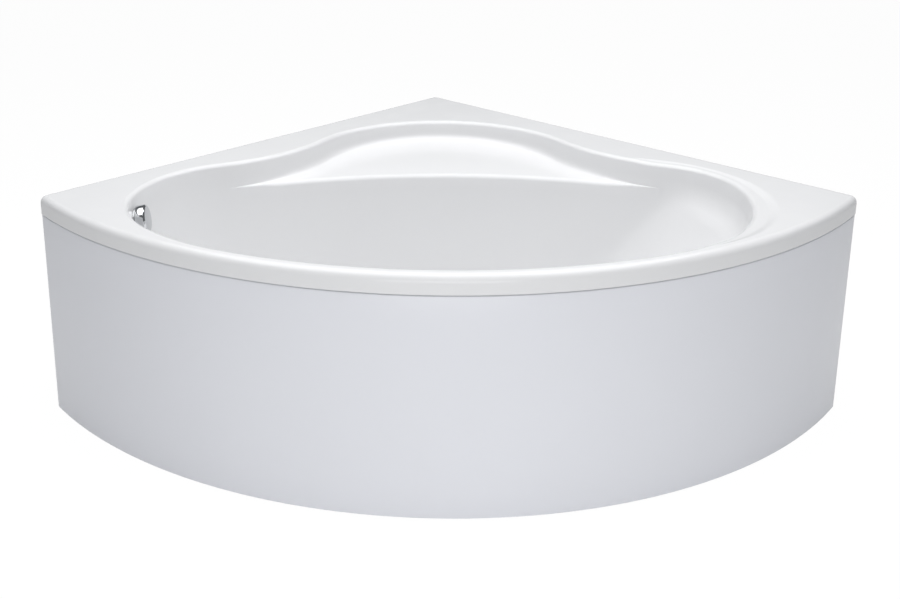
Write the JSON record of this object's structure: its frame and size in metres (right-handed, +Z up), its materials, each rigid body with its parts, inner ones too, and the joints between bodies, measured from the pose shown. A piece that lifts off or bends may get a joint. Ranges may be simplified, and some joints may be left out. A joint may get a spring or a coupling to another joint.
{
  "type": "corner bathtub",
  "caption": "Corner bathtub: white acrylic tub with bowed front, seat in the corner and sloped backrest, on a steel frame with levelling feet, removable front panel and turn-knob waste",
  "frame": {"origin": "on the floor, under the middle of the outline's box", "axes": "+Z up; +X to the right seen from the bowed front, towards the sloped backrest; +Y from the bowed front to the room's corner"},
  "size_m": [2.107, 1.5857, 0.605],
  "materials": {
    "acrylic": "white sanitary acrylic, polished",
    "panel_acrylic": "white acrylic, polished, slightly cooler than the tub",
    "encapsulated_board": "chipboard sealed with resin",
    "timber": "planed softwood",
    "frame_paint": "grey powder coat, satin",
    "zinc_steel": "zinc plated steel",
    "foot_plastic": "black nylon pad on a zinc plated spindle",
    "black_plastic": "black moulded plastic",
    "rubber": "black rubber",
    "white_plastic": "white polypropylene",
    "chrome": "polished chrome"
  },
  "bodies": {
    "tub": {"base_board": "encapsulated_board", "board_screws": "zinc_steel", "corner_block_left": "timber", "corner_block_right": "timber", "cross_rail_left": "frame_paint", "cross_rail_right": "frame_paint", "foot_nuts": "zinc_steel", "gaskets": "rubber", "magnet_bracket": "zinc_steel", "overflow_body": "white_plastic", "overflow_pipe": "white_plastic", "overflow_plate": "chrome", "panel_magnets": "black_plastic", "post_back": "frame_paint", "post_front_left": "frame_paint", "post_front_right": "frame_paint", "post_pads": "rubber", "post_rear_left": "frame_paint", "post_rear_right": "frame_paint", "pull_cable": "black_plastic", "rail_front": "frame_paint", "rail_rear": "frame_paint", "rim_batten_left": "timber", "rim_batten_right": "timber", "spine_back": "frame_paint", "spine_front": "frame_paint", "spine_middle": "frame_paint", "trap": "white_plastic", "tub_shell": "acrylic", "tube_end_caps": "black_plastic", "union_nuts": "white_plastic", "wall_brackets_left": "zinc_steel", "wall_brackets_right": "zinc_steel", "waste_body": "white_plastic", "waste_flange": "chrome"},
    "overflow_knob": {"overflow_knob": "chrome"},
    "waste_plug": {"waste_plug": "chrome"},
    "front_panel": {"front_panel": "panel_acrylic", "panel_stiffener_left": "timber", "panel_stiffener_right": "timber", "panel_stiffener_centre": "timber", "strike_plates": "zinc_steel"},
    "foot_front": {"foot_front": "foot_plastic"},
    "foot_left_front": {"foot_left_front": "foot_plastic"},
    "foot_right_front": {"foot_right_front": "foot_plastic"},
    "foot_left_rear": {"foot_left_rear": "foot_plastic"},
    "foot_right_rear": {"foot_right_rear": "foot_plastic"},
    "foot_back": {"foot_back": "foot_plastic"}
  },
  "joints": [
    {"name": "knob_turn", "type": "hinge", "parent": "tub", "child": "overflow_knob", "pos_m": [-0.80778, -0.27754, 0.543], "axis": [0.9887, 0, 0.1499], "range_deg": [0, 90]},
    {"name": "plug_lift", "type": "slide", "parent": "tub", "child": "waste_plug", "axis": [0, 0, 1], "range_m": [0, 0.008]},
    {"name": "panel_pull", "type": "slide", "parent": "tub", "child": "front_panel", "axis": [0, -1, 0], "range_m": [0, 0.06]},
    {"name": "foot_front_level", "type": "slide", "parent": "tub", "child": "foot_front", "axis": [0, 0, 1], "range_m": [-0.025, 0.003]},
    {"name": "foot_left_front_level", "type": "slide", "parent": "tub", "child": "foot_left_front", "axis": [0, 0, 1], "range_m": [-0.025, 0.003]},
    {"name": "foot_right_front_level", "type": "slide", "parent": "tub", "child": "foot_right_front", "axis": [0, 0, 1], "range_m": [-0.025, 0.003]},
    {"name": "foot_left_rear_level", "type": "slide", "parent": "tub", "child": "foot_left_rear", "axis": [0, 0, 1], "range_m": [-0.025, 0.003]},
    {"name": "foot_right_rear_level", "type": "slide", "parent": "tub", "child": "foot_right_rear", "axis": [0, 0, 1], "range_m": [-0.025, 0.003]},
    {"name": "foot_back_level", "type": "slide", "parent": "tub", "child": "foot_back", "axis": [0, 0, 1], "range_m": [-0.025, 0.003]}
  ],
  "couplings": [
    {"joint": "plug_lift", "follows": "knob_turn", "m_per_rad": 0.005093}
  ]
}
